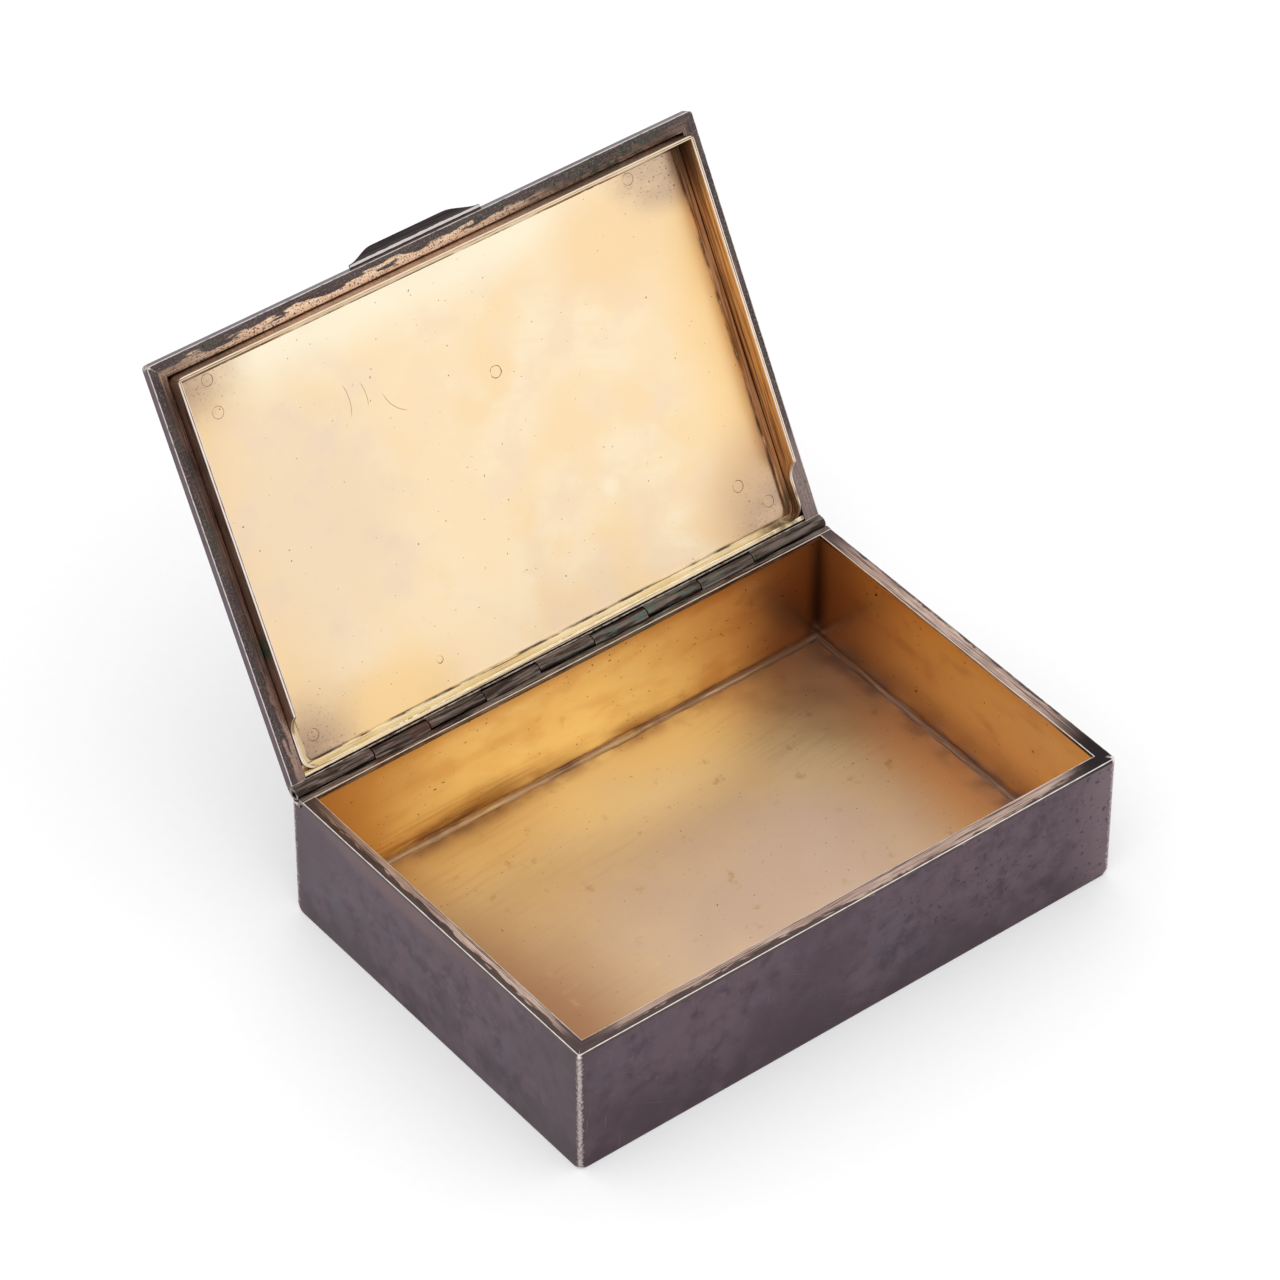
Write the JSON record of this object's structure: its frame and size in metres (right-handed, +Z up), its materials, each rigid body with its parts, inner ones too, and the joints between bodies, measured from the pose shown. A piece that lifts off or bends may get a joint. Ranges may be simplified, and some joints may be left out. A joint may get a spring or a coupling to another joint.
{
  "type": "cigar box",
  "caption": "Low rectangular silver cigar box with a gilt inside, a full-length tube hinge and a bezelled lid with a thumbpiece, standing open at the lid's stop.",
  "frame": {"origin": "centre of the underside of the floor plate", "axes": "+X along the hinge, to the right seen from the front; +Y to the back, where the hinge is; +Z up"},
  "size_m": [0.16, 0.1654, 0.134],
  "materials": {
    "tarnished_silver": "tarnished, satin",
    "worn_silver": "worn, satin",
    "gilding": "gilt, satin",
    "pale_gilding": "gilt, satin",
    "solder": "as flowed"
  },
  "bodies": {
    "box": {"floor_plate": "gilding", "front_wall": "tarnished_silver", "back_wall": "tarnished_silver", "left_wall": "tarnished_silver", "right_wall": "tarnished_silver", "front_floor_solder": "solder", "back_floor_solder": "solder", "left_floor_solder": "solder", "right_floor_solder": "solder", "front_rim": "worn_silver", "left_rim": "worn_silver", "right_rim": "worn_silver", "back_rim": "worn_silver", "hinge_knuckle_2": "worn_silver", "hinge_knuckle_4": "worn_silver", "hinge_knuckle_6": "worn_silver", "hinge_knuckle_8": "worn_silver"},
    "lid": {"hinge_knuckle_1": "worn_silver", "hinge_knuckle_3": "worn_silver", "hinge_knuckle_5": "worn_silver", "hinge_knuckle_7": "worn_silver", "hinge_knuckle_9": "worn_silver", "hinge_pin": "worn_silver", "lid_front_frame": "tarnished_silver", "lid_left_frame": "tarnished_silver", "lid_right_frame": "tarnished_silver", "lid_back_frame": "tarnished_silver", "lid_front_bezel": "gilding", "lid_back_bezel": "gilding", "lid_left_bezel": "gilding", "lid_right_bezel": "gilding", "front_left_rivet": "pale_gilding", "inner_left_rivet": "pale_gilding", "front_right_rivet": "pale_gilding", "back_left_rivet": "pale_gilding", "back_right_rivet": "pale_gilding", "inner_right_rivet": "pale_gilding", "middle_rivet": "pale_gilding", "small_rivet": "pale_gilding", "lid_plate": "pale_gilding", "thumbpiece": "tarnished_silver"}
  },
  "joints": [
    {"name": "lid_hinge", "type": "hinge", "parent": "box", "child": "lid", "pos_m": [0, 0.05415, 0.0375], "axis": [1, 0, 0], "range_deg": [0, 118.7]}
  ]
}
